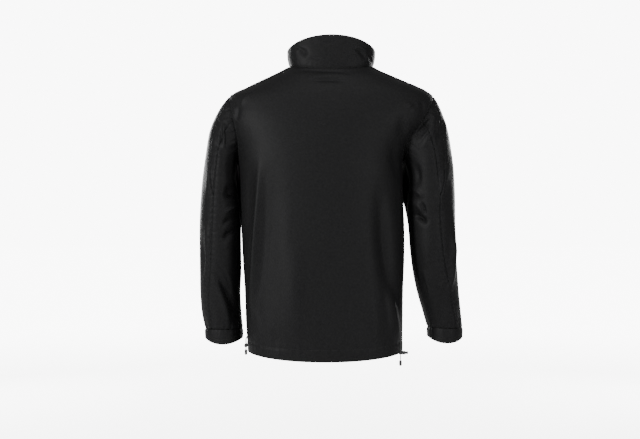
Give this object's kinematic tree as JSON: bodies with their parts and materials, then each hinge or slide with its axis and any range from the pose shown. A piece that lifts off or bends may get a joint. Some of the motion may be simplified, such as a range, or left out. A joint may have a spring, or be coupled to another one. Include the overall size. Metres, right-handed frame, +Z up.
{
  "type": "softshell jacket",
  "caption": "Softshell jacket with a stand collar, set-in sleeves, a front zip with a swinging pull tab and a hem drawcord, filled out as worn.",
  "frame": {"origin": "between the wearer's shoulders at the middle of the neck's base, level with the two side points of the neck seam", "axes": "+Z up, the zipped front faces +Y and the back faces -Y, +X is on the wearer's right"},
  "size_m": [0.6633, 0.2711, 0.8183],
  "materials": {
    "shell_cloth": "matte",
    "zip_tape": "matte",
    "cord_cloth": "matte",
    "zip_teeth": "satin",
    "trim_plastic": "satin",
    "black_metal": "satin"
  },
  "bodies": {
    "jacket": {"back": "shell_cloth", "front_right": "shell_cloth", "front_left": "shell_cloth", "collar": "shell_cloth", "sleeve_outer_right": "shell_cloth", "sleeve_under_right": "shell_cloth", "sleeve_gore_right": "shell_cloth", "cuff_right": "shell_cloth", "sleeve_outer_left": "shell_cloth", "sleeve_under_left": "shell_cloth", "sleeve_gore_left": "shell_cloth", "cuff_left": "shell_cloth", "zip_tape_right": "zip_tape", "zip_tape_left": "zip_tape", "zip_chain": "zip_teeth", "zip_box": "trim_plastic", "zip_slider": "black_metal", "cord_right": "cord_cloth", "cord_lock_right": "trim_plastic", "cord_end_right": "trim_plastic", "cord_left": "cord_cloth", "cord_lock_left": "trim_plastic", "cord_end_left": "trim_plastic"},
    "pull_tab": {"zip_pull": "black_metal"}
  },
  "joints": [
    {"name": "pull_tab_swing", "type": "hinge", "parent": "jacket", "child": "pull_tab", "pos_m": [0, 0.074, -0.01259], "axis": [1, 0, 0], "range_deg": [0, 160]}
  ]
}
